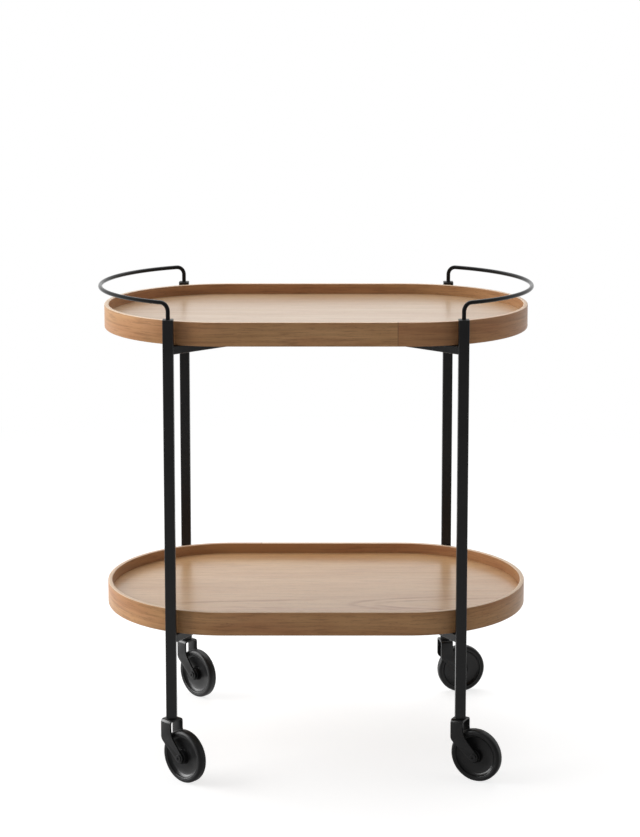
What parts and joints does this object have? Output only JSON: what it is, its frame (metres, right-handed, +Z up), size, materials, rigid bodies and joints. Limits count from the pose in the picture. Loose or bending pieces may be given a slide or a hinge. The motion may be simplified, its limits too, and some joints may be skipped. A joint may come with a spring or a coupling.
{
  "type": "serving cart",
  "caption": "Serving cart with oval rimmed wooden trays on slim square steel legs, bent rod handles at the ends and swivel casters.",
  "frame": {"origin": "on the floor under the middle of the trays", "axes": "+X along the cart's length to the right as seen from the front, +Y to the back, +Z up"},
  "size_m": [0.637, 0.4154, 0.6875],
  "materials": {
    "oak_board": "clear satin lacquer on straight-grained oak veneer",
    "oak_rim": "clear satin lacquer on bent oak",
    "black_steel": "matt black powder coat",
    "black_plastic": "moulded, fine grain",
    "grey_plastic": "moulded, satin",
    "grey_tyre": "soft moulded tread, matt",
    "zinc_steel": "black zinc"
  },
  "bodies": {
    "frame": {"upper_tray_rim": "oak_rim", "upper_tray_panel": "oak_board", "upper_tray_brace": "black_steel", "upper_tray_screws": "zinc_steel", "lower_tray_rim": "oak_rim", "lower_tray_panel": "oak_board", "lower_tray_brace": "black_steel", "lower_tray_screws": "zinc_steel", "left_handle": "black_steel", "right_handle": "black_steel", "front_left_leg": "black_steel", "front_left_leg_cap": "black_plastic", "front_left_caster_socket": "black_plastic", "front_left_caster_stem": "zinc_steel", "front_left_swivel_washer": "black_plastic", "front_right_leg": "black_steel", "front_right_leg_cap": "black_plastic", "front_right_caster_socket": "black_plastic", "front_right_caster_stem": "zinc_steel", "front_right_swivel_washer": "black_plastic", "back_left_leg": "black_steel", "back_left_leg_cap": "black_plastic", "back_left_caster_socket": "black_plastic", "back_left_caster_stem": "zinc_steel", "back_left_swivel_washer": "black_plastic", "back_right_leg": "black_steel", "back_right_leg_cap": "black_plastic", "back_right_caster_socket": "black_plastic", "back_right_caster_stem": "zinc_steel", "back_right_swivel_washer": "black_plastic"},
    "front_left_caster": {"front_left_caster_fork": "black_steel", "front_left_axle_sleeve": "zinc_steel", "front_left_axle_screw": "zinc_steel"},
    "front_left_wheel": {"front_left_wheel_hub": "grey_plastic", "front_left_wheel_bushing": "black_plastic", "front_left_tyre": "grey_tyre"},
    "front_right_caster": {"front_right_caster_fork": "black_steel", "front_right_axle_sleeve": "zinc_steel", "front_right_axle_screw": "zinc_steel"},
    "front_right_wheel": {"front_right_wheel_hub": "grey_plastic", "front_right_wheel_bushing": "black_plastic", "front_right_tyre": "grey_tyre"},
    "back_left_caster": {"back_left_caster_fork": "black_steel", "back_left_axle_sleeve": "zinc_steel", "back_left_axle_screw": "zinc_steel"},
    "back_left_wheel": {"back_left_wheel_hub": "grey_plastic", "back_left_wheel_bushing": "black_plastic", "back_left_tyre": "grey_tyre"},
    "back_right_caster": {"back_right_caster_fork": "black_steel", "back_right_axle_sleeve": "zinc_steel", "back_right_axle_screw": "zinc_steel"},
    "back_right_wheel": {"back_right_wheel_hub": "grey_plastic", "back_right_wheel_bushing": "black_plastic", "back_right_tyre": "grey_tyre"}
  },
  "joints": [
    {"name": "front_left_swivel", "type": "hinge", "parent": "frame", "child": "front_left_caster", "pos_m": [-0.205, -0.17469, 0.086], "axis": [0, 0, 1], "continuous": true},
    {"name": "front_left_wheel_spin", "type": "hinge", "parent": "front_left_caster", "child": "front_left_wheel", "pos_m": [-0.18568, -0.19209, 0.0375], "axis": [0.6691, 0.7431, 0], "continuous": true},
    {"name": "front_right_swivel", "type": "hinge", "parent": "frame", "child": "front_right_caster", "pos_m": [0.205, -0.17469, 0.086], "axis": [0, 0, 1], "continuous": true},
    {"name": "front_right_wheel_spin", "type": "hinge", "parent": "front_right_caster", "child": "front_right_wheel", "pos_m": [0.22774, -0.18729, 0.0375], "axis": [0.4848, 0.8746, 0], "continuous": true},
    {"name": "back_left_swivel", "type": "hinge", "parent": "frame", "child": "back_left_caster", "pos_m": [-0.205, 0.17469, 0.086], "axis": [0, 0, 1], "continuous": true},
    {"name": "back_left_wheel_spin", "type": "hinge", "parent": "back_left_caster", "child": "back_left_wheel", "pos_m": [-0.18694, 0.15599, 0.0375], "axis": [0.7193, 0.6947, 0], "continuous": true},
    {"name": "back_right_swivel", "type": "hinge", "parent": "frame", "child": "back_right_caster", "pos_m": [0.205, 0.17469, 0.086], "axis": [0, 0, 1], "continuous": true},
    {"name": "back_right_wheel_spin", "type": "hinge", "parent": "back_right_caster", "child": "back_right_wheel", "pos_m": [0.23043, 0.18009, 0.0375], "axis": [-0.2079, 0.9781, 0], "continuous": true}
  ]
}
